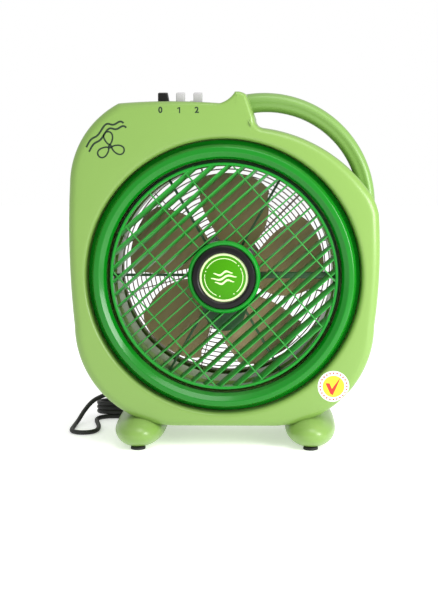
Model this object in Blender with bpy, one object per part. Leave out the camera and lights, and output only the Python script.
"""Box fan with a motor-driven turning louvre: the functional model.

Units are metres, +Z is up and the air blows towards -Y. The fan's axis is parallel to Y at x = 0. The origin is
on the floor, under the middle of the box. Places across the front are written as (x, up), with up from the axis.
"""

import math

import bmesh
import bpy
from mathutils import Vector

MM = 0.001

# ---- Driving sizes across the front, outwards from the axis ------------------------------------------------
BLADE_RADIUS = 127 * MM
TIP_GAP = 9 * MM
LOUVRE_LAP = 5.5 * MM
LOUVRE_GAP = 4.5 * MM
BEZEL_WIDTH = 17.5 * MM
WELL_GAP = 7.5 * MM
SIDE_MARGIN = 23.5 * MM
BOTTOM_MARGIN = 19 * MM
TOP_MARGIN = 44 * MM
FLOOR_GAP = 26 * MM

DUCT_RADIUS = BLADE_RADIUS + TIP_GAP
LOUVRE_RADIUS = DUCT_RADIUS + LOUVRE_LAP
BEZEL_INNER = LOUVRE_RADIUS + LOUVRE_GAP
BEZEL_OUTER = BEZEL_INNER + BEZEL_WIDTH
WELL_RADIUS = BEZEL_OUTER + WELL_GAP
HALF_WIDTH = WELL_RADIUS + SIDE_MARGIN
BODY_LOW = -(WELL_RADIUS + BOTTOM_MARGIN)
BODY_TOP = WELL_RADIUS + TOP_MARGIN
AXIS_Z = FLOOR_GAP - BODY_LOW

# ---- Driving sizes through the depth, from the front face backwards ----------------------------------------
BEZEL_PROUD = 6 * MM
LOUVRE_SINK = 6 * MM
SLAT_DEPTH = 13 * MM
GUARD_GAP = 7 * MM
GUARD_PLATE = 4 * MM
GUARD_PLAY = 0.0095  # between the guard's ring and its seat, as a share of the seat's radius
SPOKE_DEPTH = 8 * MM
GEARBOX_DEPTH = 24 * MM
SPINNER_GAP = 3 * MM
IMPELLER_DEPTH = 30 * MM
MOTOR_GAP = 3 * MM
MOTOR_LENGTH = 49 * MM
GRILLE_PLATE = 3 * MM
REAR_SINK = 3 * MM

STACK = (LOUVRE_SINK, SLAT_DEPTH, GUARD_GAP, GUARD_PLATE, GEARBOX_DEPTH, SPINNER_GAP, IMPELLER_DEPTH, MOTOR_GAP,
         MOTOR_LENGTH, GRILLE_PLATE, REAR_SINK)
BODY_DEPTH = sum(STACK)
FRONT_Y = -BODY_DEPTH / 2
REAR_Y = BODY_DEPTH / 2
LOUVRE_Y = FRONT_Y + LOUVRE_SINK
SLAT_BACK_Y = LOUVRE_Y + SLAT_DEPTH
GUARD_Y = SLAT_BACK_Y + GUARD_GAP
GEARBOX_Y = GUARD_Y + GUARD_PLATE
GEARBOX_BACK_Y = GEARBOX_Y + GEARBOX_DEPTH
IMPELLER_Y = GEARBOX_BACK_Y + SPINNER_GAP
IMPELLER_BACK_Y = IMPELLER_Y + IMPELLER_DEPTH
MOTOR_Y = IMPELLER_BACK_Y + MOTOR_GAP
MOTOR_BACK_Y = MOTOR_Y + MOTOR_LENGTH
SPLIT_Y = 0.0

# ---- Walls, gaps and fits ----------------------------------------------------------------------------------
WALL = 2.5 * MM
TOUCH = 0.3 * MM
RUN_GAP = 0.2 * MM
EDGE_RADIUS = 11 * MM
LIP_RADIUS = 7 * MM
WELL_DEPTH = 17 * MM
OVERCUT = 10 * MM

# ---- The outline's free sizes ------------------------------------------------------------------------------
LOW_CORNER = 128 * MM
SIDE_TAPER = 6 * MM
SIDE_BULGE = 3.5 * MM
TOP_CORNER = (62 * MM, 101 * MM)
TOP_CORNER_BULGE = 16.4 * MM
TOP_CROWN = 2.5 * MM
TOP_END = 32 * MM
SHOULDER_START = (42 * MM, 28.5 * MM)
HUMP_X = (4 * MM, 13 * MM, 25 * MM, 34 * MM)
HUMP_HEIGHT = (14 * MM, 12 * MM)
HUMP_ROOT = 9 * MM
HUMP_EDGE = 5 * MM
SHOULDER_BULGE = 15.2 * MM
SHOULDER_END = (18.5 * MM, 103 * MM)
SHOULDER_CORNER_BULGE = 2.5 * MM
SIDE_START = 137 * MM

# ---- Handle ------------------------------------------------------------------------------------------------
HANDLE_CENTRE = (50.5 * MM, 86.5 * MM)
HANDLE_RADIUS = 130 * MM
HANDLE_THICK_TOP = 25 * MM
HANDLE_THICK_END = 20 * MM
HANDLE_HALF_DEPTH = 20 * MM
HANDLE_FROM_DEG = 104
HANDLE_TO_DEG = -6

# ---- Feet --------------------------------------------------------------------------------------------------
FOOT_X = 108 * MM
FOOT_HEIGHT = 42 * MM
FOOT_OUT = 31 * MM
FOOT_IN = 30 * MM
FOOT_REACH = 20 * MM
PAD_RADIUS = 9.5 * MM
PAD_THICK = 3.5 * MM
PAD_INSET = 22 * MM

# ---- Louvre ------------------------------------------------------------------------------------------------
SLAT_COUNT = 20
SLAT_THICK = 1.7 * MM
SLAT_ANGLE_DEG = 41.5
SLAT_LEAN_DEG = 30
BAR_COUNT = 5
BAR_THICK = 1.8 * MM
BAR_DEPTH = 4 * MM
RIM_WIDTH = 3.5 * MM
HUB_OUTER = 45 * MM
CAP_OUTER = 39.5 * MM
CAP_INNER = 31 * MM
CAP_PROUD = 12 * MM
WEB_THICK = 3 * MM
SPINDLE_RADIUS = 5 * MM

# ---- Louvre drive ------------------------------------------------------------------------------------------
MODULE = 1.6 * MM
GEAR_TEETH = 42
PINION_TEETH = 14
GEAR_WIDTH = 5 * MM
ADDENDUM = 0.8
DEDENDUM = 1.1
BACKLASH = 0.3 * MM
PRESSURE_DEG = 20
GEAR_CENTRES = MODULE * (GEAR_TEETH + PINION_TEETH) / 2
GEAR_ROOM = 6.4 * MM
GEARBOX_RADIUS = MODULE * GEAR_TEETH / 2 + GEAR_ROOM
PINION_ROOM = 14.8 * MM
GEARBOX_LOBE = MODULE * PINION_TEETH / 2 + PINION_ROOM
LOUVRE_MOTOR_RADIUS = 21 * MM

# ---- Guard, impeller and motor -----------------------------------------------------------------------------
SPOKES = 6
SPOKE_WIDTH = 3 * MM
WIDE_SPOKE = 8 * MM
BLADES = 5
BLADE_THICK = 2 * MM
BLADE_HUB = 29 * MM
HUB_WALL = 2.5 * MM
SHAFT_RADIUS = 4 * MM
STATOR_RADIUS = 40 * MM
ROTOR_RADIUS = 22 * MM
AIR_GAP = 0.5 * MM
GRILLE_RINGS = 8
GRILLE_BAR = 2.2 * MM
GRILLE_RIBS = 6
GRILLE_HUB = 47 * MM
MOTOR_SCREW_CIRCLE = 31 * MM

# ---- Keys --------------------------------------------------------------------------------------------------
KEY_TRAVEL = 5 * MM
KEY_PROUD = 13 * MM
KEY_LONG = 13 * MM
KEY_ROW_Y = 32 * MM
KEY_STEM = 7 * MM
KEY_SLOT_GAP = 0.7 * MM
SPEED_KEYS = (("key_off", -75 * MM, 15 * MM, 12 * MM), ("key_low", -54.5 * MM, 11 * MM, 11 * MM),
              ("key_high", -33 * MM, 11 * MM, 11 * MM))
LOUVRE_KEY_X = -43 * MM
LOUVRE_KEY_WIDTH = 8 * MM
LOUVRE_KEY_PROUD = 5 * MM

# ---- Screws ------------------------------------------------------------------------------------------------
SCREW_RADIUS = 1.8 * MM
SCREW_HEAD = 3.6 * MM
SCREW_HEAD_THICK = 2.2 * MM
BOSS_RADIUS = 6.5 * MM
BOSS_BORE = 4.4 * MM
POST_RADIUS = 5 * MM
# The corner screws' bearings and their distance from the axis, counted from the well's wall.
CORNER_SCREWS = (("upper_left", 136.2, 34.1 * MM), ("upper_right", 45.0, 10 * MM), ("lower_left", 225.2, 16.4 * MM),
                 ("lower_right", -45.2, 16.4 * MM))

# ---- Cord --------------------------------------------------------------------------------------------------
CORD_RADIUS = 3 * MM
GLAND_X = -96 * MM
GLAND_Z = 68 * MM
GLAND_LENGTH = 24 * MM
GLAND_RADIUS = 5.5 * MM
# The loose cord's route over the floor, from the gland to the hank: x, y from the rear face, z, in millimetres.
CORD_ROUTE = ((-96, 24.9, 67.9), (-96.5, 35.5, 66), (-100, 45.5, 60.5), (-109, 52.5, 52), (-122, 54.5, 44),
              (-139, 51.5, 37), (-157, 44.5, 33.2), (-174, 33.5, 31.5), (-188, 20.5, 26), (-197.5, 6.5, 16),
              (-203, -8.5, 7), (-205.5, -24.5, 3.6), (-206, -40.5, 3.2), (-205.5, -54, 3.2), (-201.5, -65, 3.2),
              (-194.5, -71.5, 3.2), (-186, -72, 3.2), (-177.5, -67, 3.2), (-172.5, -57, 3.2), (-171.5, -43, 3.2),
              (-173.5, -28.5, 3.2), (-176.5, -14.5, 3.2), (-178.5, -2.5, 3.2), (-178.5, 9, 3.2), (-174.5, 20.8, 3.2))
HANK_X = -119 * MM
HANK_RUN = 100 * MM
HANK_WIDTH = 42 * MM
HANK_HEIGHT = 25 * MM
HANK_BEHIND = 4.5 * MM
# The cord's free end, from the hank's far side to the plug, laid out in the same way.
TAIL_ROUTE = ((-47.4, 45.5, 12), (-38, 44.5, 10), (-26, 41, 6.5), (-14, 36.5, 4.2), (-2, 33.5, 3.4), (10, 32.5, 3.3))
PLUG_LENGTH = 32 * MM
PLUG_RADIUS = 8 * MM
PIN_RADIUS = 2 * MM
PIN_LENGTH = 18 * MM
PIN_SPREAD = 9.5 * MM


# ---- Materials ---------------------------------------------------------------------------------------------
def material(name, colour, roughness, metallic=0.0):
    """A Principled material in one plain colour."""
    made = bpy.data.materials.new(name)
    made.use_nodes = True
    shader = made.node_tree.nodes["Principled BSDF"]
    shader.inputs["Base Color"].default_value = (*colour, 1.0)
    shader.inputs["Roughness"].default_value = roughness
    shader.inputs["Metallic"].default_value = metallic
    return made


# ---- Making objects ----------------------------------------------------------------------------------------
def place(name, mesh, finish, location=(0, 0, 0)):
    """An object of this mesh, with its finish, in the scene."""
    mesh.materials.append(finish)
    made = bpy.data.objects.new(name, mesh)
    made.location = location
    bpy.context.scene.collection.objects.link(made)
    return made


def finish_mesh(bm, name, sharp_deg=35):
    """Turns a bmesh into a closed mesh with outward faces and smooth round stretches."""
    bmesh.ops.remove_doubles(bm, verts=bm.verts, dist=1e-6)
    bmesh.ops.recalc_face_normals(bm, faces=bm.faces)
    mesh = bpy.data.meshes.new(name)
    bm.to_mesh(mesh)
    bm.free()
    mesh.shade_smooth()
    mesh.set_sharp_from_angle(angle=math.radians(sharp_deg))
    return mesh


def turned_mesh(name, profile, steps, closed=True):
    """A solid turned about the Y axis from (radius, y) points. An open profile starts and ends on the axis."""
    bm = bmesh.new()
    verts = [bm.verts.new((radius, y, 0)) for radius, y in profile]
    ends = verts[1:] + verts[:1] if closed else verts[1:]
    edges = [bm.edges.new(pair) for pair in zip(verts, ends)]
    bmesh.ops.spin(bm, geom=verts + edges, cent=(0, 0, 0), axis=(0, 1, 0), angle=math.tau, steps=steps,
                   use_merge=True)
    return finish_mesh(bm, name)


def ring_mesh(name, inner, outer, y0, y1, steps):
    """A plain ring about the Y axis."""
    return turned_mesh(name, [(inner, y0), (outer, y0), (outer, y1), (inner, y1)], steps)


def rod_mesh(name, radius, y0, y1, steps):
    """A plain round bar about the Y axis."""
    return turned_mesh(name, [(0, y0), (radius, y0), (radius, y1), (0, y1)], steps, closed=False)


def plate_mesh(name, outline, y0, y1):
    """An outline of (x, up) points, extruded along Y."""
    bm = bmesh.new()
    face = bm.faces.new([bm.verts.new((x, y0, up)) for x, up in outline])
    grown = bmesh.ops.extrude_face_region(bm, geom=[face])["geom"]
    bmesh.ops.translate(bm, vec=(0, y1 - y0, 0), verts=[v for v in grown if isinstance(v, bmesh.types.BMVert)])
    return finish_mesh(bm, name)


def box_mesh(name, low, high):
    """A block between two corners."""
    corners = [(low[0], low[2]), (high[0], low[2]), (high[0], high[2]), (low[0], high[2])]
    return plate_mesh(name, corners, low[1], high[1])


def loft(bm, loops, capped):
    """Skins a row of loops that have the same number of points."""
    rows = [[bm.verts.new(point) for point in loop] for loop in loops]
    for near, far in zip(rows, rows[1:]):
        for i in range(len(near)):
            j = (i + 1) % len(near)
            bm.faces.new((near[i], near[j], far[j], far[i]))
    if capped:
        bm.faces.new(rows[0])
        bm.faces.new(rows[-1])


def helper(name, mesh, location=(0, 0, 0)):
    """An object that only cuts or joins, and isn't a piece itself."""
    made = bpy.data.objects.new(name, mesh)
    made.location = location
    made.hide_render = True
    made.display_type = "WIRE"
    bpy.context.scene.collection.objects.link(made)
    return made


def boolean(target, operation, tools, label):
    """Joins the tools to the target, or cuts them from it."""
    group = bpy.data.collections.new(label)
    for tool in tools:
        group.objects.link(tool)
    step = target.modifiers.new(label, "BOOLEAN")
    step.operation = operation
    step.solver = "EXACT"
    step.operand_type = "COLLECTION"
    step.collection = group


# ---- The body's outline ------------------------------------------------------------------------------------
def bowed(start, end, bulge, steps):
    """Points on an arc from start up to but without end, whose middle stands out by bulge to the left."""
    start, end = Vector(start), Vector(end)
    chord = end - start
    left = Vector((-chord.y, chord.x)).normalized()
    if abs(bulge) < 1e-6:
        return [tuple(start + chord * i / steps) for i in range(steps)]
    radius = (chord.length**2 / 4 + bulge**2) / (2 * bulge)
    centre = start + chord / 2 + left * (bulge - radius)
    half = math.asin(max(-1.0, min(1.0, chord.length / 2 / abs(radius))))
    first = start - centre
    turn = -math.copysign(2 * half, bulge) / steps
    points = []
    for i in range(steps):
        c, s = math.cos(turn * i), math.sin(turn * i)
        points.append((centre.x + first.x * c - first.y * s, centre.y + first.x * s + first.y * c))
    return points


def body_outline():
    """The box's outline, clockwise from its upper left corner, as (x, up) points."""
    side = HALF_WIDTH - SIDE_TAPER
    top_left = (-side + TOP_CORNER[0] - SIDE_BULGE, BODY_TOP)
    corners = (
        (top_left, TOP_CROWN, 4),
        ((TOP_END, BODY_TOP), 0.0, 2),
        ((SHOULDER_START[0], BODY_TOP - SHOULDER_START[1]), SHOULDER_BULGE, 6),
        ((HALF_WIDTH - SHOULDER_END[0], BODY_TOP - SHOULDER_END[1]), SHOULDER_CORNER_BULGE, 3),
        ((HALF_WIDTH - 1.5 * MM, BODY_TOP - SIDE_START), SIDE_BULGE, 4),
        ((side, BODY_LOW + LOW_CORNER), LOW_CORNER * (1 - math.sqrt(0.5)), 7),
        ((side - LOW_CORNER, BODY_LOW), 0.0, 3),
        ((LOW_CORNER - side, BODY_LOW), LOW_CORNER * (1 - math.sqrt(0.5)), 7),
        ((-side, BODY_LOW + LOW_CORNER), SIDE_BULGE, 4),
        ((-side - SIDE_BULGE, BODY_TOP - TOP_CORNER[1]), TOP_CORNER_BULGE, 6),
    )
    points = []
    for i, (start, bulge, steps) in enumerate(corners):
        points += bowed(start, corners[(i + 1) % len(corners)][0], bulge, steps)
    return points


def inset(outline, distance):
    """The clockwise outline moved inwards along its normals."""
    moved = []
    for i, point in enumerate(outline):
        before, after = Vector(outline[i - 1]), Vector(outline[(i + 1) % len(outline)])
        along = (after - before).normalized()
        inward = Vector((along.y, -along.x))
        moved.append(tuple(Vector(point) + inward * distance))
    return moved


def spokewise(outline, radius):
    """The circle of this radius, with a point on each of the outline's own bearings."""
    return [tuple(Vector(point).normalized() * radius) for point in outline]


def at_depth(outline, y):
    """An (x, up) outline as 3-D points at one depth."""
    return [(x, y, up) for x, up in outline]


def rounded_edge(outline, face_y, inward, steps=2):
    """The loops of the box's rounded edge, from its side to its face; inward is +1 where the box lies behind."""
    loops = []
    for i in range(steps + 1):
        turn = math.pi / 2 * i / steps
        depth = face_y + inward * EDGE_RADIUS * (1 - math.sin(turn))
        loops.append(at_depth(inset(outline, EDGE_RADIUS * (1 - math.cos(turn))), depth))
    return loops


def shell(name, loops, finish, location):
    """An open skin through the loops, given a wall behind it."""
    bm = bmesh.new()
    loft(bm, loops, capped=False)
    bmesh.ops.recalc_face_normals(bm, faces=bm.faces)
    mesh = bpy.data.meshes.new(name)
    bm.to_mesh(mesh)
    bm.free()
    mesh.shade_smooth()
    mesh.set_sharp_from_angle(angle=math.radians(35))
    made = place(name, mesh, finish, location)
    wall = made.modifiers.new("wall", "SOLIDIFY")
    wall.thickness = WALL
    wall.offset = -1
    wall.use_even_offset = True
    return made


# ---- Casings -----------------------------------------------------------------------------------------------
AXIS = (0, 0, AXIS_Z)


def envelope(gap):
    """The space that the box and its hump fill, grown by a gap, for cutting what fits against them."""
    spaces = []
    for name, outline in (("box_space", body_outline()), ("hump_space", hump_outline())):
        spaces.append(helper(name, plate_mesh(name, inset(outline, -gap), FRONT_Y - gap, REAR_Y + gap), AXIS))
    return spaces


def hump_outline():
    """The outline of the hump on the box's top, which the handle comes out of."""
    low, crest, turned, end = HUMP_X
    outline = [(low, BODY_TOP - HUMP_ROOT), (low, BODY_TOP + 1 * MM)]
    outline += bowed((low + 2 * MM, BODY_TOP + 4 * MM), (crest, BODY_TOP + HUMP_HEIGHT[0]), 1 * MM, 3)
    outline += bowed((crest, BODY_TOP + HUMP_HEIGHT[0]), (turned, BODY_TOP + HUMP_HEIGHT[1]), 1.2 * MM, 3)
    return outline + [(turned, BODY_TOP + HUMP_HEIGHT[1]), (end, BODY_TOP - HUMP_ROOT)]


def hump(name, face_y, split_y):
    """Half of the hump, from a face of the box to the split."""
    inward = math.copysign(1, split_y - face_y)
    outline = hump_outline()
    loops = []
    for share in (0.0, 0.35, 1.0):
        turn = math.pi / 2 * share
        depth = face_y + inward * (1.5 * MM + HUMP_EDGE * (1 - math.cos(turn)))
        loops.append(at_depth(inset(outline, HUMP_EDGE * 0.7 * (1 - math.sin(turn))), depth))
    loops.append(at_depth(outline, split_y - inward * TOUCH / 2))
    bm = bmesh.new()
    loft(bm, loops, capped=True)
    return helper(name, finish_mesh(bm, name), AXIS)


def front_casing(finish, key_cutters):
    """The front shell: its side wall, face, round well and the duct that the blades turn in."""
    outline = body_outline()
    loops = [at_depth(outline, SPLIT_Y - TOUCH / 2)]
    loops += rounded_edge(outline, FRONT_Y, 1)
    for i in range(3):
        turn = math.pi / 2 * i / 2
        radius = WELL_RADIUS + LIP_RADIUS * (1 - math.sin(turn))
        loops.append(at_depth(spokewise(outline, radius), FRONT_Y + LIP_RADIUS * (1 - math.cos(turn))))
    seat_y = FRONT_Y + WELL_DEPTH
    loops.append(at_depth(spokewise(outline, WELL_RADIUS - 3 * MM), seat_y))
    loops.append(at_depth(spokewise(outline, BEZEL_INNER + 2 * MM), seat_y))
    loops.append(at_depth(spokewise(outline, BEZEL_INNER), GUARD_Y + SPOKE_DEPTH + TOUCH))
    loops.append(at_depth(spokewise(outline, DUCT_RADIUS + 4 * MM), GUARD_Y + SPOKE_DEPTH + TOUCH))
    loops.append(at_depth(spokewise(outline, DUCT_RADIUS), GEARBOX_BACK_Y - 4 * MM))
    loops.append(at_depth(spokewise(outline, DUCT_RADIUS), IMPELLER_BACK_Y - 4 * MM))
    made = shell("front_casing", loops, finish, AXIS)
    posts, holes = [], list(key_cutters)
    for corner, x, up in corner_screws():
        post = rod_mesh(f"post_{corner}", POST_RADIUS, FRONT_Y + WALL / 2, SPLIT_Y - TOUCH, 10)
        posts.append(helper(f"post_{corner}", post, (x, 0, AXIS_Z + up)))
        pilot = rod_mesh(f"pilot_{corner}", SCREW_RADIUS + RUN_GAP, SPLIT_Y - 14 * MM, SPLIT_Y + OVERCUT, 8)
        holes.append(helper(f"pilot_{corner}", pilot, (x, 0, AXIS_Z + up)))
    boolean(made, "UNION", [*posts, hump("front_hump", FRONT_Y, SPLIT_Y)], "front_posts")
    boolean(made, "DIFFERENCE", holes, "front_holes")
    return made


def rear_casing(finish, key_cutters):
    """The rear shell, with deep screw bosses, the grille's opening and the cord's hole."""
    outline = body_outline()
    loops = [at_depth(outline, SPLIT_Y + TOUCH / 2)]
    loops += rounded_edge(outline, REAR_Y, -1)
    loops.append(at_depth(spokewise(outline, DUCT_RADIUS + 5 * MM), REAR_Y))
    loops.append(at_depth(spokewise(outline, DUCT_RADIUS + 5 * MM), REAR_Y - 8 * MM))
    made = shell("rear_casing", loops, finish, AXIS)
    bosses, holes = [], list(key_cutters)
    for corner, x, up in corner_screws():
        boss = rod_mesh(f"boss_{corner}", BOSS_RADIUS, SPLIT_Y + TOUCH, REAR_Y - WALL / 2, 10)
        bosses.append(helper(f"boss_{corner}", boss, (x, 0, AXIS_Z + up)))
        well = rod_mesh(f"head_well_{corner}", BOSS_BORE, SPLIT_Y + 6 * MM, REAR_Y + OVERCUT, 10)
        holes.append(helper(f"head_well_{corner}", well, (x, 0, AXIS_Z + up)))
        bore = rod_mesh(f"bore_{corner}", SCREW_RADIUS + RUN_GAP, SPLIT_Y - OVERCUT, SPLIT_Y + 12 * MM, 8)
        holes.append(helper(f"bore_{corner}", bore, (x, 0, AXIS_Z + up)))
    gland = rod_mesh("gland_hole", GLAND_RADIUS - 1 * MM + TOUCH, REAR_Y - 3 * OVERCUT, REAR_Y + OVERCUT, 12)
    holes.append(helper("gland_hole", gland, (GLAND_X, 0, GLAND_Z)))
    boolean(made, "UNION", [*bosses, hump("rear_hump", REAR_Y, SPLIT_Y)], "rear_bosses")
    boolean(made, "DIFFERENCE", holes, "rear_holes")
    return made


def corner_screws():
    """Each corner screw's name, x and up."""
    places = []
    for corner, bearing, beyond in CORNER_SCREWS:
        turn, reach = math.radians(bearing), WELL_RADIUS + beyond
        places.append((corner, reach * math.cos(turn), reach * math.sin(turn)))
    return places


def screw_mesh(name, length, head_at, way):
    """A pan-head screw along Y. Its head's underside is at head_at, and its shank runs from there way (+1 or -1)."""
    radius, head, thick = SCREW_RADIUS, SCREW_HEAD, SCREW_HEAD_THICK
    profile = [(0, -thick), (head * 0.6, -thick), (head, -thick * 0.5), (head, 0), (radius, 0), (radius, length - 1 * MM),
               (radius * 0.4, length), (0, length)]
    return turned_mesh(name, [(r, head_at + way * y) for r, y in profile], 8, closed=False)


# ---- Handle ------------------------------------------------------------------------------------------------
def handle_section(turn_deg, way, steps=6):
    """Half of the handle's cross-section at one bearing: its flat side on the split plane, its back round."""
    turn = math.radians(turn_deg)
    share = (HANDLE_FROM_DEG - turn_deg) / (HANDLE_FROM_DEG - HANDLE_TO_DEG)
    half = (HANDLE_THICK_TOP + (HANDLE_THICK_END - HANDLE_THICK_TOP) * share) / 2
    out = Vector((math.cos(turn), 0, math.sin(turn)))
    centre = Vector((HANDLE_CENTRE[0], 0, HANDLE_CENTRE[1])) + out * HANDLE_RADIUS
    points = []
    for i in range(steps + 1):
        angle = math.pi * i / steps
        square = 0.72
        across = math.copysign(abs(math.cos(angle)) ** square, math.cos(angle))
        deep = abs(math.sin(angle)) ** square
        y = way * (TOUCH / 2 + (HANDLE_HALF_DEPTH - TOUCH / 2) * deep)
        points.append(tuple(centre + out * (half * across) + Vector((0, y, 0))))
    return points


def handle_half(name, way, finish, box_space):
    """One moulded half of the carrying handle, cut to sit on the box at both ends."""
    bm = bmesh.new()
    stations = 18
    turns = [HANDLE_FROM_DEG + (HANDLE_TO_DEG - HANDLE_FROM_DEG) * i / stations for i in range(stations + 1)]
    loft(bm, [handle_section(turn, way) for turn in turns], capped=True)
    made = place(name, finish_mesh(bm, name), finish, AXIS)
    boolean(made, "DIFFERENCE", box_space, name + "_seat")
    return made


# ---- Feet --------------------------------------------------------------------------------------------------
FOOT_BASE = PAD_THICK
FOOT_END_Y = REAR_Y + FOOT_REACH
FOOT_SHAPE = ((-1.0, 0.0), (-0.93, 0.17), (-0.78, 0.45), (-0.55, 0.75), (-0.27, 0.94), (0.05, 1.0), (0.4, 0.9),
              (0.74, 0.66), (0.96, 0.38), (0.97, 0.2), (0.75, 0.0))


def foot(name, side, finish, box_space):
    """A foot that runs under the box from front to back, with a round nose at each end. side is -1 or 1."""
    loops = []
    noses = ((1.0, 0.25), (0.96, 0.5), (0.84, 0.78), (0.55, 0.97), (0.0, 1.0))
    ends = [(-FOOT_END_Y + FOOT_REACH * (1 - along), size) for along, size in noses]
    stations = ends + [(-y, size) for y, size in reversed(ends)]
    for y, size in stations:
        loop = []
        for across, up in FOOT_SHAPE:
            wide = FOOT_OUT if across < 0 else FOOT_IN
            height = (FOOT_HEIGHT - FOOT_BASE) * up * size
            loop.append((side * (FOOT_X - across * wide * (0.35 + 0.65 * size)), y, FOOT_BASE + height))
        loops.append(loop)
    bm = bmesh.new()
    loft(bm, loops, capped=True)
    made = place(name, finish_mesh(bm, name), finish)
    boolean(made, "DIFFERENCE", box_space, name + "_seat")
    return made


def foot_pad(name, side, end, finish):
    """A round rubber pad under one end of a foot."""
    profile = [(0, 0), (PAD_RADIUS - 1 * MM, 0), (PAD_RADIUS, 1 * MM), (PAD_RADIUS, PAD_THICK - TOUCH),
               (0, PAD_THICK - TOUCH)]
    mesh = turned_mesh(name, profile, 16, closed=False)
    made = place(name, mesh, finish, (side * FOOT_X, end * (FOOT_END_Y - PAD_INSET), 0))
    made.rotation_euler = (math.pi / 2, 0, 0)
    return made


# ---- Bezel, louvre and its drive ---------------------------------------------------------------------------
def bezel_ring(finish):
    """The bright ring round the louvre: a rounded front with a flange that seats on the well's floor."""
    middle, half = (BEZEL_INNER + BEZEL_OUTER) / 2, BEZEL_WIDTH / 2
    crest = FRONT_Y - BEZEL_PROUD
    seat = FRONT_Y + WELL_DEPTH - TOUCH
    thick = 3 * MM
    outside = [(BEZEL_OUTER, seat), (BEZEL_OUTER, crest + 9 * MM), (middle + half * 0.8, crest + 4 * MM),
               (middle + half * 0.35, crest + 0.6 * MM), (middle - half * 0.25, crest),
               (middle - half * 0.8, crest + 3 * MM), (BEZEL_INNER, crest + 9 * MM), (BEZEL_INNER, seat - 2 * MM)]
    inside = [(BEZEL_INNER + thick, seat - 2 * MM), (BEZEL_INNER + thick, crest + 9.5 * MM),
              (middle, crest + thick + 1 * MM), (BEZEL_OUTER - thick, crest + 10 * MM), (BEZEL_OUTER - thick, seat)]
    return place("bezel_ring", turned_mesh("bezel_ring", outside + inside, 36), finish, AXIS)


def slat_offsets():
    """How far each slat's middle line lies from the axis, evenly spaced across the louvre."""
    pitch = 2 * (LOUVRE_RADIUS - RIM_WIDTH) / (SLAT_COUNT + 1)
    return [pitch * (i - (SLAT_COUNT - 1) / 2) for i in range(SLAT_COUNT)]


def bar_offsets():
    """How far each cross bar lies from the axis."""
    pitch = 2 * LOUVRE_RADIUS / (BAR_COUNT + 0.7)
    return [pitch * (i - (BAR_COUNT - 1) / 2) for i in range(BAR_COUNT)]


def chord_pieces(offset, reach, hub):
    """The (start, end) stretches of a straight bar at this offset, between the rim and the hub."""
    far = math.sqrt(reach**2 - offset**2)
    if abs(offset) >= hub:
        return [(-far, far)]
    near = math.sqrt(hub**2 - offset**2)
    return [(-far, -near), (near, far)]


def slanted_box(name, start, end, offset, turn_deg, thick, y0, y1, lean_deg):
    """A straight bar that runs from start to end along a bearing, offset from the axis, its depth leaning."""
    turn = math.radians(turn_deg)
    along = Vector((math.cos(turn), 0, math.sin(turn)))
    across = Vector((-along.z, 0, along.x))
    lean = math.tan(math.radians(lean_deg)) * (y1 - y0) / 2
    bm = bmesh.new()
    loops = []
    for place_along in (start, end):
        loop = []
        for y, shift in ((y0, -lean), (y1, lean)):
            sides = (-thick / 2, thick / 2) if y == y0 else (thick / 2, -thick / 2)
            loop += [tuple(along * place_along + across * (offset + shift + s) + Vector((0, y, 0))) for s in sides]
        loops.append(loop)
    loft(bm, loops, capped=True)
    return helper(name, finish_mesh(bm, name), AXIS)


def louvre_grille(finish):
    """The turning louvre: rim, hub, leaning slats and thin cross bars, in one moulding."""
    rim_inner = LOUVRE_RADIUS - RIM_WIDTH
    web_y = SLAT_BACK_Y - WEB_THICK
    bore = 2.3 * MM
    rim = ring_mesh("louvre_grille", rim_inner, LOUVRE_RADIUS, LOUVRE_Y - 0.5 * MM, SLAT_BACK_Y - 1 * MM, 36)
    made = place("louvre_grille", rim, finish, AXIS)
    hub_profile = [(CAP_OUTER + TOUCH, LOUVRE_Y - 4 * MM), (HUB_OUTER, LOUVRE_Y - 3 * MM), (HUB_OUTER, SLAT_BACK_Y),
                   (bore, SLAT_BACK_Y), (bore, web_y), (CAP_OUTER + TOUCH, web_y)]
    tools = [helper("louvre_hub", turned_mesh("louvre_hub", hub_profile, 28), AXIS)]
    reach = (rim_inner + LOUVRE_RADIUS) / 2
    hub_reach = (HUB_OUTER + CAP_OUTER) / 2
    for i, offset in enumerate(slat_offsets()):
        lean = -SLAT_LEAN_DEG * offset / LOUVRE_RADIUS
        for j, (start, end) in enumerate(chord_pieces(offset, reach, hub_reach)):
            tools.append(slanted_box(f"slat_{i}_{j}", start, end, offset, SLAT_ANGLE_DEG, SLAT_THICK, LOUVRE_Y,
                                     SLAT_BACK_Y - 2 * MM, lean))
    for i, offset in enumerate(bar_offsets()):
        for j, (start, end) in enumerate(chord_pieces(offset, reach, hub_reach)):
            tools.append(slanted_box(f"bar_{i}_{j}", start, end, offset, SLAT_ANGLE_DEG - 90, BAR_THICK,
                                     LOUVRE_Y + 0.6 * MM, LOUVRE_Y + 0.6 * MM + BAR_DEPTH, 0))
    boolean(made, "UNION", tools, "louvre_bars")
    return made


def louvre_cap(finish):
    """The black cap ring in the louvre's hub, with a shallow seat for the badge."""
    front = LOUVRE_Y - CAP_PROUD
    back = SLAT_BACK_Y - WEB_THICK - TOUCH
    profile = [(0, front + 5 * MM), (CAP_INNER, front + 5 * MM), (CAP_INNER, front + 1.5 * MM),
               (CAP_INNER + 2 * MM, front), (CAP_OUTER - 3 * MM, front + 2 * MM), (CAP_OUTER, front + 7 * MM),
               (CAP_OUTER, back), (CAP_OUTER - 2 * MM, back), (CAP_OUTER - 2 * MM, front + 8 * MM),
               (0, front + 8 * MM)]
    return place("louvre_cap", turned_mesh("louvre_cap", profile, 28, closed=False), finish, AXIS)


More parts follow.
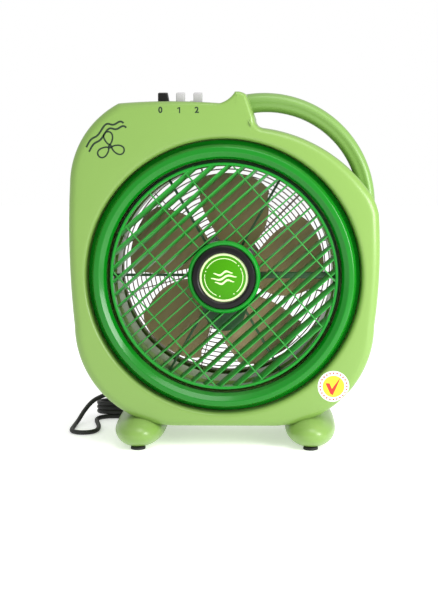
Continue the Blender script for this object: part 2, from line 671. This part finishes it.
def louvre_badge(finish):
    """The thin disc that sits in the cap."""
    front = LOUVRE_Y - CAP_PROUD
    mesh = rod_mesh("louvre_badge", CAP_INNER - TOUCH, front + 3.2 * MM, front + 5 * MM - TOUCH, 28)
    return place("louvre_badge", mesh, finish, AXIS)


def gear_outline(teeth, tooth_deg, flank):
    """A spur gear's outline as (x, up) points. A tooth's middle is on the bearing tooth_deg."""
    pitch_radius = MODULE * teeth / 2
    base = pitch_radius * math.cos(math.radians(PRESSURE_DEG))
    root, tip = pitch_radius - DEDENDUM * MODULE, pitch_radius + ADDENDUM * MODULE
    levels = [root + (tip - root) * share for share in flank]

    def half_angle(radius):
        pressure = math.acos(min(1.0, base / max(radius, base)))
        at_pitch = math.radians(PRESSURE_DEG)
        grown = (math.tan(at_pitch) - at_pitch) - (math.tan(pressure) - pressure)
        return math.pi / (2 * teeth) - BACKLASH / 4 / pitch_radius + grown

    points = []
    for tooth in range(teeth):
        middle = math.radians(tooth_deg) + math.tau * tooth / teeth
        sides = [(middle - half_angle(r), r) for r in levels] + [(middle + half_angle(r), r) for r in levels[::-1]]
        points += [(r * math.cos(a), r * math.sin(a)) for a, r in sides]
    return points


GEAR_FRONT_Y = GEARBOX_Y + 1.5 * MM
GEAR_BACK_Y = GEAR_FRONT_Y + GEAR_WIDTH
PINION_AT = (0, 0, AXIS_Z - GEAR_CENTRES)


def louvre_gear(finish):
    """The large gear on the louvre's spindle."""
    outline = gear_outline(GEAR_TEETH, -90, (0.0, 1.0))
    made = place("louvre_gear", plate_mesh("louvre_gear", outline, GEAR_FRONT_Y, GEAR_BACK_Y), finish, AXIS)
    bore = rod_mesh("gear_bore", SPINDLE_RADIUS + TOUCH, GEAR_FRONT_Y - OVERCUT, GEAR_BACK_Y + OVERCUT, 12)
    boolean(made, "DIFFERENCE", [helper("gear_bore", bore, AXIS)], "gear_bore")
    return made


def drive_pinion(finish):
    """The small gear on the louvre motor's output, a tooth gap facing the large gear."""
    outline = gear_outline(PINION_TEETH, 90 + 180 / PINION_TEETH, (0.0, 0.5, 1.0))
    return place("drive_pinion", plate_mesh("drive_pinion", outline, GEAR_FRONT_Y, GEAR_BACK_Y), finish, PINION_AT)


def louvre_spindle(finish):
    """The spindle that carries the louvre and its gear. It turns in the guard's bush, and a flange holds it in."""
    web_back = SLAT_BACK_Y + TOUCH
    profile = [(1.6 * MM, web_back), (8 * MM, web_back), (8 * MM, web_back + 3 * MM),
               (SPINDLE_RADIUS, web_back + 3 * MM), (SPINDLE_RADIUS, GEAR_BACK_Y + TOUCH),
               (7 * MM, GEAR_BACK_Y + TOUCH), (7 * MM, GEAR_BACK_Y + 2 * MM), (1.6 * MM, GEAR_BACK_Y + 2 * MM)]
    return place("louvre_spindle", turned_mesh("louvre_spindle", profile, 16), finish, AXIS)


def pear(radius, lobe, drop, steps=24):
    """The outline round a large circle on the axis and a small one that lies drop below it, clockwise."""
    lean = math.asin((radius - lobe) / drop)
    points = []
    for centre, size, start, end in ((0.0, radius, math.pi + lean, -lean), (-drop, lobe, -lean, -math.pi + lean)):
        points += [(size * math.cos(start + (end - start) * i / (steps / 2)),
                    centre + size * math.sin(start + (end - start) * i / (steps / 2)))
                   for i in range(steps // 2 + 1)]
    return points


def spoke_guard(finish):
    """The fixed guard behind the louvre: an outer ring, six spokes and the plate that carries the louvre."""
    outer = BEZEL_INNER * (1 - GUARD_PLAY)
    inner = outer - 4 * MM
    ring = ring_mesh("spoke_guard", inner, outer, GUARD_Y, GUARD_Y + SPOKE_DEPTH, 40)
    made = place("spoke_guard", ring, finish, AXIS)
    plate = plate_mesh("guard_plate", pear(GEARBOX_RADIUS, GEARBOX_LOBE, GEAR_CENTRES), GUARD_Y - 0.5 * MM,
                       GEARBOX_Y - TOUCH)
    tools = [helper("guard_plate", plate, AXIS)]
    for i in range(SPOKES):
        width = WIDE_SPOKE if i == 0 else SPOKE_WIDTH
        start, turn = GEARBOX_RADIUS - 5 * MM, 360 * i / SPOKES
        tools.append(slanted_box(f"spoke_{i}", start, inner + 2 * MM, 0, turn, width, GUARD_Y + 0.5 * MM,
                                 GEARBOX_Y - TOUCH - 0.5 * MM, 0))
    boolean(made, "UNION", tools, "guard_spokes")
    cuts = [helper("spindle_hole", rod_mesh("spindle_hole", SPINDLE_RADIUS + 3 * MM, GUARD_Y - OVERCUT,
                                            GEARBOX_Y + OVERCUT, 24), AXIS),
            helper("pinion_hole", rod_mesh("pinion_hole", 3.2 * MM, GUARD_Y - OVERCUT, GEARBOX_Y + OVERCUT, 12),
                   PINION_AT)]
    boolean(made, "DIFFERENCE", cuts, "guard_holes")
    return made


def guard_bush(finish):
    """The plain bearing that the louvre's spindle turns in."""
    mesh = ring_mesh("guard_bush", SPINDLE_RADIUS + RUN_GAP, SPINDLE_RADIUS + 3 * MM - TOUCH, GUARD_Y - 2 * MM,
                     GEARBOX_Y - TOUCH, 24)
    return place("guard_bush", mesh, finish, AXIS)


def gearbox_cover(finish):
    """The cup behind the guard's plate that hides the gears and the louvre motor."""
    loops = [at_depth(pear(GEARBOX_RADIUS, GEARBOX_LOBE, GEAR_CENTRES), GEARBOX_Y),
             at_depth(pear(GEARBOX_RADIUS, GEARBOX_LOBE, GEAR_CENTRES), GEARBOX_BACK_Y - 3 * MM),
             at_depth(pear(GEARBOX_RADIUS - 3 * MM, GEARBOX_LOBE - 3 * MM, GEAR_CENTRES), GEARBOX_BACK_Y)]
    bm = bmesh.new()
    rows = [[bm.verts.new(point) for point in loop] for loop in loops]
    for near, far in zip(rows, rows[1:]):
        for i in range(len(near)):
            j = (i + 1) % len(near)
            bm.faces.new((near[i], near[j], far[j], far[i]))
    bm.faces.new(rows[-1])
    bmesh.ops.recalc_face_normals(bm, faces=bm.faces)
    if sum(f.normal.y for f in bm.faces if len(f.verts) > 4) < 0:
        bmesh.ops.reverse_faces(bm, faces=bm.faces)
    mesh = bpy.data.meshes.new("gearbox_cover")
    bm.to_mesh(mesh)
    bm.free()
    made = place("gearbox_cover", mesh, finish, AXIS)
    wall = made.modifiers.new("wall", "SOLIDIFY")
    wall.thickness = 2 * MM
    wall.offset = -1
    return made


def louvre_motor(finish):
    """The small geared synchronous motor that turns the pinion."""
    front, back = GEAR_BACK_Y + 1 * MM, GEARBOX_BACK_Y - 2 * MM - TOUCH
    profile = [(0, front), (LOUVRE_MOTOR_RADIUS, front), (LOUVRE_MOTOR_RADIUS, back), (0, back)]
    return place("louvre_motor", turned_mesh("louvre_motor", profile, 24, closed=False), finish, PINION_AT)


# ---- Impeller and motor ------------------------------------------------------------------------------------
def blade(index):
    """One wide blade, a thin twisted sheet that leans back from its leading edge."""
    bm = bmesh.new()
    along, across = 5, 4
    root = BLADE_HUB - 2 * MM
    rows = []
    for i in range(along + 1):
        share = i / along
        radius = root + (BLADE_RADIUS - root) * share
        width = math.radians(44 + 22 * math.sin(math.pi * min(1.0, share * 0.9 + 0.05)) - 10 * share**3)
        sweep = math.radians(26 * share**1.5)
        depth = (IMPELLER_DEPTH - 6 * MM) * (1 - 0.25 * share)
        row = []
        for j in range(across + 1):
            v = j / across - 0.5
            rounding = 1 - 0.045 * (2 * abs(v)) ** 3 * share
            angle = math.tau * index / BLADES + math.radians(12) + sweep - math.radians(13) + v * width
            camber = 3 * MM * (1 - 4 * v * v)
            y = (IMPELLER_Y + IMPELLER_BACK_Y) / 2 - v * depth - camber
            row.append(bm.verts.new((radius * rounding * math.cos(angle), y, radius * rounding * math.sin(angle))))
        rows.append(row)
    for near, far in zip(rows, rows[1:]):
        for j in range(across):
            bm.faces.new((near[j], near[j + 1], far[j + 1], far[j]))
    bmesh.ops.recalc_face_normals(bm, faces=bm.faces)
    bmesh.ops.solidify(bm, geom=bm.faces[:], thickness=BLADE_THICK)
    return helper(f"blade_{index}", finish_mesh(bm, f"blade_{index}"), AXIS)


def impeller(finish):
    """The five-bladed impeller: a cup-shaped hub with a sleeve on the shaft, and its blades."""
    front, back = IMPELLER_Y + 3 * MM, IMPELLER_BACK_Y - 2 * MM
    sleeve = SHAFT_RADIUS + 5 * MM
    bore = SHAFT_RADIUS + TOUCH
    profile = [(bore, front), (BLADE_HUB - 6 * MM, front), (BLADE_HUB, front + 6 * MM), (BLADE_HUB, back),
               (BLADE_HUB - HUB_WALL, back), (BLADE_HUB - HUB_WALL, front + 7 * MM),
               (BLADE_HUB - 7 * MM, front + HUB_WALL), (sleeve, front + HUB_WALL), (sleeve, back - 3 * MM),
               (bore, back - 3 * MM)]
    made = place("impeller", turned_mesh("impeller", profile, 24), finish, AXIS)
    boolean(made, "UNION", [blade(i) for i in range(BLADES)], "blades")
    return made


SHAFT_FRONT_Y = IMPELLER_Y + 1.5 * MM
SHAFT_BACK_Y = MOTOR_BACK_Y - 3 * MM


def spinner_nut(finish):
    """The nut that holds the impeller on its shaft."""
    front, back = IMPELLER_Y, IMPELLER_Y + 3 * MM - TOUCH
    bore = SHAFT_RADIUS + TOUCH
    profile = [(bore, front), (8 * MM, front), (11 * MM, back - 1 * MM), (11 * MM, back), (bore, back)]
    return place("spinner_nut", turned_mesh("spinner_nut", profile, 12), finish, AXIS)


def motor(steel, copper, cast, bronze):
    """The induction motor: two cast brackets, stator, windings, rotor, shaft and bushes."""
    core_y, core_back = MOTOR_Y + 13 * MM, MOTOR_Y + 35 * MM
    bush_outer = SHAFT_RADIUS + 4 * MM
    outer, wall = STATOR_RADIUS + 2 * MM, 3 * MM
    bore = SHAFT_RADIUS + RUN_GAP
    place("motor_shaft", rod_mesh("motor_shaft", SHAFT_RADIUS, SHAFT_FRONT_Y, SHAFT_BACK_Y, 20), steel, AXIS)
    place("rotor_core", ring_mesh("rotor_core", SHAFT_RADIUS + TOUCH, ROTOR_RADIUS, core_y, core_back, 24), steel,
          AXIS)
    place("motor_stator", ring_mesh("motor_stator", ROTOR_RADIUS + AIR_GAP, STATOR_RADIUS, core_y, core_back, 24),
          steel, AXIS)
    ends = (("front", core_y - TOUCH, MOTOR_Y, -1), ("rear", core_back + TOUCH, MOTOR_BACK_Y - TOUCH, 1))
    for end, near, far, way in ends:
        coil = ring_mesh(f"{end}_winding", ROTOR_RADIUS + 3 * MM, STATOR_RADIUS - 6 * MM,
                         *sorted((near, near + way * 7 * MM)), 20)
        place(f"{end}_winding", coil, copper, AXIS)
        profile = [(outer, near), (outer, far - way * 5 * MM), (outer - 6 * MM, far), (bush_outer + TOUCH, far),
                   (bush_outer + TOUCH, far - way * wall), (outer - 6 * MM, far - way * wall),
                   (outer - wall, far - way * 6 * MM), (outer - wall, near)]
        bracket = place(f"motor_{end}_bracket", turned_mesh(f"motor_{end}_bracket", profile, 20), cast, AXIS)
        if end == "rear":
            taps = [helper(f"tap_{i}", rod_mesh(f"tap_{i}", SCREW_RADIUS + RUN_GAP, far - OVERCUT, far + OVERCUT, 8),
                           at) for i, at in enumerate(motor_screw_places())]
            boolean(bracket, "DIFFERENCE", taps, "motor_taps")
        bush = ring_mesh(f"{end}_bush", bore, bush_outer, *sorted((far - way * 5 * MM, far)), 20)
        place(f"{end}_bush", bush, bronze, AXIS)


def motor_screw_places():
    """Where the motor's four screws are, as object locations on the screw circle."""
    turns = [math.radians(45 + 90 * i) for i in range(4)]
    return [(MOTOR_SCREW_CIRCLE * math.cos(t), 0, AXIS_Z + MOTOR_SCREW_CIRCLE * math.sin(t)) for t in turns]


GRILLE_Y = MOTOR_BACK_Y
GRILLE_BACK_Y = MOTOR_BACK_Y + GRILLE_PLATE


def rear_grille(finish):
    """The rear guard: a rim in the casing's opening, round bars, ribs and the plate that carries the motor."""
    rim_outer = DUCT_RADIUS + 5 * MM - WALL - TOUCH
    flange = DUCT_RADIUS + 10 * MM
    rim = [(rim_outer - 3 * MM, GRILLE_Y - 2 * MM), (rim_outer, GRILLE_Y - 2 * MM), (rim_outer, REAR_Y + TOUCH),
           (flange, REAR_Y + TOUCH), (flange, REAR_Y + 2 * MM), (rim_outer - 3 * MM, REAR_Y + 2 * MM)]
    made = place("rear_grille", turned_mesh("rear_grille", rim, 36), finish, AXIS)
    plate = rod_mesh("grille_plate", GRILLE_HUB, GRILLE_Y, GRILLE_BACK_Y, 28)
    tools = [helper("grille_plate", plate, AXIS)]
    pitch = (rim_outer - 3 * MM - GRILLE_HUB) / (GRILLE_RINGS + 1)
    for i in range(GRILLE_RINGS):
        radius = GRILLE_HUB + pitch * (i + 1)
        bar = ring_mesh(f"grille_bar_{i}", radius - GRILLE_BAR / 2, radius + GRILLE_BAR / 2, GRILLE_Y + 0.2 * MM,
                        GRILLE_BACK_Y - 0.2 * MM, 24)
        tools.append(helper(f"grille_bar_{i}", bar, AXIS))
    for i in range(GRILLE_RIBS):
        tools.append(slanted_box(f"grille_rib_{i}", GRILLE_HUB - 3 * MM, rim_outer - 1.5 * MM, 0,
                                 90 + 360 * i / GRILLE_RIBS, 3 * MM, GRILLE_Y - 1 * MM, GRILLE_BACK_Y - 0.5 * MM, 0))
    boolean(made, "UNION", tools, "grille_bars")
    holes = [helper(f"grille_hole_{i}", rod_mesh(f"grille_hole_{i}", SCREW_RADIUS + RUN_GAP, GRILLE_Y - OVERCUT,
                                                 GRILLE_BACK_Y + OVERCUT, 8), at)
             for i, at in enumerate(motor_screw_places())]
    boolean(made, "DIFFERENCE", holes, "grille_holes")
    return made


# ---- Keys and electrics ------------------------------------------------------------------------------------
KEY_Y = FRONT_Y + KEY_ROW_Y
CASE_TOP_Z = AXIS_Z + BODY_TOP
SWITCH_TOP_Z = CASE_TOP_Z - 12 * MM
SWITCH_LOW_Z = SWITCH_TOP_Z - 18 * MM
POCKET_FLOOR_Z = SWITCH_LOW_Z + 1.5 * MM
STEM_LOW_Z = POCKET_FLOOR_Z + KEY_TRAVEL + 3.5 * MM
CAP_LOW_Z = SWITCH_TOP_Z + KEY_TRAVEL + 0.5 * MM
LOUVRE_KEY_Y = SPLIT_Y + 16 * MM


def key(name, x, y, low_width, high_width, proud, finish):
    """A push key: a cap that tapers upwards, on a square stem."""
    half_long, half_stem = KEY_LONG / 2, KEY_STEM / 2
    top = CASE_TOP_Z + proud
    loops = []
    for half_x, half_y, z in ((half_stem, half_stem, STEM_LOW_Z), (half_stem, half_stem, CAP_LOW_Z),
                              (low_width / 2, half_long, CAP_LOW_Z), (low_width / 2, half_long, CASE_TOP_Z),
                              (high_width / 2, half_long - 1 * MM, top - 2 * MM),
                              (high_width / 2 - 1.5 * MM, half_long - 2.5 * MM, top)):
        loops.append([(x + sx * half_x, y + sy * half_y, z) for sx, sy in ((-1, -1), (1, -1), (1, 1), (-1, 1))])
    bm = bmesh.new()
    loft(bm, loops, capped=True)
    return place(name, finish_mesh(bm, name), finish)


def key_slot(name, x, y, width):
    """The cutter for a key's slot in the casing's top."""
    half_x, half_y = width / 2 + KEY_SLOT_GAP, KEY_LONG / 2 + KEY_SLOT_GAP
    low, high = (x - half_x, y - half_y, CASE_TOP_Z - OVERCUT), (x + half_x, y + half_y, CASE_TOP_Z + OVERCUT)
    return helper(name, box_mesh(name, low, high))


def key_spring(name, x, y, finish):
    """The return spring under a key's stem."""
    turns, per_turn, radius, wire = 3, 8, 2.2 * MM, 0.35 * MM
    low, high = POCKET_FLOOR_Z + wire + TOUCH, STEM_LOW_Z - wire - TOUCH
    count = turns * per_turn
    data = bpy.data.curves.new(name, "CURVE")
    data.dimensions = "3D"
    data.bevel_depth = wire
    data.bevel_resolution = 0
    data.use_fill_caps = True
    line = data.splines.new("POLY")
    line.points.add(count)
    for i in range(count + 1):
        turn = math.tau * i / per_turn
        height = low + (high - low) * i / count
        line.points[i].co = (x + radius * math.cos(turn), y + radius * math.sin(turn), height, 1)
    data.materials.append(finish)
    made = bpy.data.objects.new(name, data)
    bpy.context.scene.collection.objects.link(made)


def switch_body(name, keys, y, finish):
    """A key switch: a block with a pocket for each stem, and ears that reach up to the casing."""
    margin, half_y = 9 * MM, KEY_STEM / 2 + 3 * MM
    low_x, high_x = keys[0][0] - margin, keys[-1][0] + margin
    made = place(name, box_mesh(name, (low_x, y - half_y, SWITCH_LOW_Z), (high_x, y + half_y, SWITCH_TOP_Z)), finish)
    ears = [helper(f"{name}_ear_{i}", box_mesh(f"{name}_ear_{i}", (x, y - half_y + 1 * MM, SWITCH_LOW_Z + 2 * MM),
                                              (x + 3 * MM, y + half_y - 1 * MM, CASE_TOP_Z - WALL - TOUCH)))
            for i, x in enumerate((low_x - 1.5 * MM, high_x - 1.5 * MM))]
    boolean(made, "UNION", ears, name + "_ears")
    half = KEY_STEM / 2 + TOUCH
    pockets = [helper(f"{name}_pocket_{i}", box_mesh(f"{name}_pocket_{i}", (x - half, y - half, POCKET_FLOOR_Z),
                                                    (x + half, y + half, SWITCH_TOP_Z + OVERCUT)))
               for i, (x, _) in enumerate(keys)]
    boolean(made, "DIFFERENCE", pockets, name + "_pockets")
    return made


def capacitor(finish):
    """The motor's run capacitor, a flat block clipped inside the lower part of the rear casing."""
    low = (10 * MM, REAR_Y - WALL - 34 * MM, AXIS_Z + BODY_LOW + WALL + TOUCH)
    high = (48 * MM, REAR_Y - WALL - TOUCH - 12 * MM, AXIS_Z + BODY_LOW + WALL + 15 * MM)
    return place("run_capacitor", box_mesh("run_capacitor", low, high), finish)


# ---- Cord --------------------------------------------------------------------------------------------------
def smooth_route(points, step):
    """A smooth curve through the route's points, as points about a step apart."""
    points = [Vector((x, y, z)) * MM + Vector((0, REAR_Y, 0)) for x, y, z in points]
    padded = [2 * points[0] - points[1], *points, 2 * points[-1] - points[-2]]
    fine = []
    for a, b, c, d in zip(padded, padded[1:], padded[2:], padded[3:]):
        for i in range(12):
            t = i / 12
            fine.append(0.5 * (2 * b + (c - a) * t + (2 * a - 5 * b + 4 * c - d) * t * t
                               + (3 * b - a - 3 * c + d) * t**3))
    fine.append(points[-1])
    length = sum((b - a).length for a, b in zip(fine, fine[1:]))
    count = max(2, round(length / step))
    spaced, walked, target = [fine[0]], 0.0, length / count
    for a, b in zip(fine, fine[1:]):
        gap = (b - a).length
        while walked + gap >= target - 1e-9 and len(spaced) < count:
            spaced.append(a + (b - a) * ((target - walked) / gap))
            target += length / count
        walked += gap
    return spaced + [fine[-1]]


def cord(name, route, finish):
    """A round cord along a route."""
    points = smooth_route(route, 2.6 * 2 * CORD_RADIUS)
    data = bpy.data.curves.new(name, "CURVE")
    data.dimensions = "3D"
    data.bevel_depth = CORD_RADIUS
    data.bevel_resolution = 2
    data.use_fill_caps = True
    line = data.splines.new("POLY")
    line.points.add(len(points) - 1)
    for spot, point in zip(line.points, points):
        spot.co = (*point, 1)
    data.materials.append(finish)
    made = bpy.data.objects.new(name, data)
    bpy.context.scene.collection.objects.link(made)


def cord_hank(finish):
    """The outer shape of the folded and tied hank of cord."""
    half_run, radius = HANK_RUN / 2, HANK_WIDTH / 2
    hank_y = FOOT_END_Y + HANK_BEHIND + radius
    outline = []
    for side in (1, -1):
        for i in range(9):
            turn = math.pi * (i / 8 - 0.5) + (0 if side > 0 else math.pi)
            outline.append((side * half_run + radius * math.cos(turn), radius * math.sin(turn)))
    bm = bmesh.new()
    loft(bm, [[(x, y, z) for x, y in outline] for z in (0.2 * MM, HANK_HEIGHT)], capped=True)
    return place("cord_hank", finish_mesh(bm, "cord_hank"), finish, (HANK_X, hank_y, 0))


def strain_relief(finish):
    """The tapered rubber gland that the cord leaves the rear casing through."""
    neck = GLAND_RADIUS - 1 * MM
    start, face = REAR_Y - WALL - 3 * MM, REAR_Y
    profile = [(0, start), (GLAND_RADIUS + 1 * MM, start), (GLAND_RADIUS + 1 * MM, face - WALL - TOUCH),
               (neck, face - WALL - TOUCH), (neck, face + TOUCH), (GLAND_RADIUS + 1.5 * MM, face + TOUCH),
               (GLAND_RADIUS + 1 * MM, face + 4 * MM), (CORD_RADIUS + 0.8 * MM, face + GLAND_LENGTH),
               (0, face + GLAND_LENGTH)]
    mesh = turned_mesh("strain_relief", profile, 12, closed=False)
    return place("strain_relief", mesh, finish, (GLAND_X, 0, GLAND_Z))


def plug(black, brass):
    """The mains plug that lies behind the fan, its two round pins pointing along +X."""
    start = (TAIL_ROUTE[-1][0] * MM + TOUCH, TAIL_ROUTE[-1][1] * MM + REAR_Y)
    lie = PLUG_RADIUS + 0.3 * MM
    loops = []
    for along, half_y, half_z in ((0, 4, 4), (6, 5, 4.5), (14, 7, 5.5), (20, 13.5, 7), (32, 14, 7.5)):
        loop = []
        for i in range(12):
            turn = math.tau * i / 12
            loop.append((start[0] + along * MM, start[1] + half_y * MM * math.cos(turn),
                         lie + (half_z * math.sin(turn) - (1 - along / 32) * (lie / MM - 3.5 - 0.8)) * MM))
        loops.append(loop)
    bm = bmesh.new()
    loft(bm, loops, capped=True)
    place("plug_body", finish_mesh(bm, "plug_body"), black)
    for i, side in enumerate((-1, 1)):
        pin = rod_mesh(f"plug_pin_{i + 1}", PIN_RADIUS, 0, PIN_LENGTH, 10)
        made = place(f"plug_pin_{i + 1}", pin, brass,
                     (start[0] + PLUG_LENGTH + TOUCH, start[1] + side * PIN_SPREAD, lie))
        made.rotation_euler = (0, 0, -math.pi / 2)


# ---- Assembly ----------------------------------------------------------------------------------------------
def clear_scene():
    """Removes what the start-up scene holds."""
    for old in list(bpy.data.objects):
        bpy.data.objects.remove(old)


def main():
    """Builds every piece of the fan."""
    clear_scene()
    pale = material("pale_green_plastic", (0.42, 0.68, 0.18), 0.35)
    emerald = material("emerald_plastic", (0.04, 0.36, 0.07), 0.3)
    smoke = material("smoked_blade_plastic", (0.22, 0.17, 0.08), 0.3)
    black = material("black_plastic", (0.015, 0.013, 0.016), 0.35)
    rubber = material("black_rubber", (0.02, 0.02, 0.02), 0.8)
    white = material("white_plastic", (0.8, 0.8, 0.82), 0.35)
    badge = material("badge_print", (0.1, 0.4, 0.01), 0.4)
    steel = material("steel", (0.5, 0.5, 0.52), 0.35, 1.0)
    cast = material("cast_alloy", (0.55, 0.55, 0.56), 0.5, 1.0)
    copper = material("copper_winding", (0.55, 0.22, 0.1), 0.45, 1.0)
    brass = material("brass", (0.75, 0.58, 0.28), 0.3, 1.0)
    grey = material("grey_plastic", (0.25, 0.25, 0.26), 0.5)

    front_slots = [key_slot(f"slot_{name}", x, KEY_Y, wide) for name, x, wide, _ in SPEED_KEYS]
    rear_slots = [key_slot("slot_key_louvre", LOUVRE_KEY_X, LOUVRE_KEY_Y, LOUVRE_KEY_WIDTH)]
    front_casing(pale, front_slots)
    rear_casing(pale, rear_slots)
    seat_space = envelope(TOUCH)
    handle_half("handle_front", -1, pale, seat_space)
    handle_half("handle_rear", 1, pale, seat_space)
    for side, word in ((-1, "left"), (1, "right")):
        foot(f"foot_{word}", side, pale, seat_space)
        for end, where in ((-1, "front"), (1, "rear")):
            foot_pad(f"foot_pad_{where}_{word}", side, end, rubber)
    for corner, x, up in corner_screws():
        mesh = screw_mesh(f"casing_screw_{corner}", 18 * MM, SPLIT_Y + 6 * MM - TOUCH / 2 + TOUCH, -1)
        place(f"casing_screw_{corner}", mesh, steel, (x, 0, AXIS_Z + up))

    bezel_ring(emerald)
    louvre_grille(emerald)
    louvre_cap(black)
    louvre_badge(badge)
    louvre_spindle(steel)
    louvre_gear(white)
    drive_pinion(white)
    spoke_guard(emerald)
    guard_bush(brass)
    gearbox_cover(emerald)
    louvre_motor(steel)

    impeller(smoke)
    spinner_nut(black)
    motor(steel, copper, cast, brass)
    rear_grille(pale)
    for i, at in enumerate(motor_screw_places()):
        mesh = screw_mesh(f"motor_screw_{i + 1}", 8 * MM, GRILLE_BACK_Y + TOUCH, -1)
        place(f"motor_screw_{i + 1}", mesh, steel, at)

    for name, x, low, high in SPEED_KEYS:
        key(name, x, KEY_Y, low, high, KEY_PROUD, black if name == "key_off" else white)
        key_spring(name.replace("key", "spring"), x, KEY_Y, steel)
    key("key_louvre", LOUVRE_KEY_X, LOUVRE_KEY_Y, LOUVRE_KEY_WIDTH, LOUVRE_KEY_WIDTH - 1 * MM, LOUVRE_KEY_PROUD,
        white)
    key_spring("spring_louvre", LOUVRE_KEY_X, LOUVRE_KEY_Y, steel)
    switch_body("speed_switch", [(x, wide) for _, x, wide, _ in SPEED_KEYS], KEY_Y, grey)
    switch_body("louvre_switch", [(LOUVRE_KEY_X, LOUVRE_KEY_WIDTH)], LOUVRE_KEY_Y, grey)
    capacitor(grey)

    strain_relief(rubber)
    cord("power_cord", CORD_ROUTE, rubber)
    cord_hank(rubber)
    cord("cord_tail", TAIL_ROUTE, rubber)
    plug(black, brass)


main()
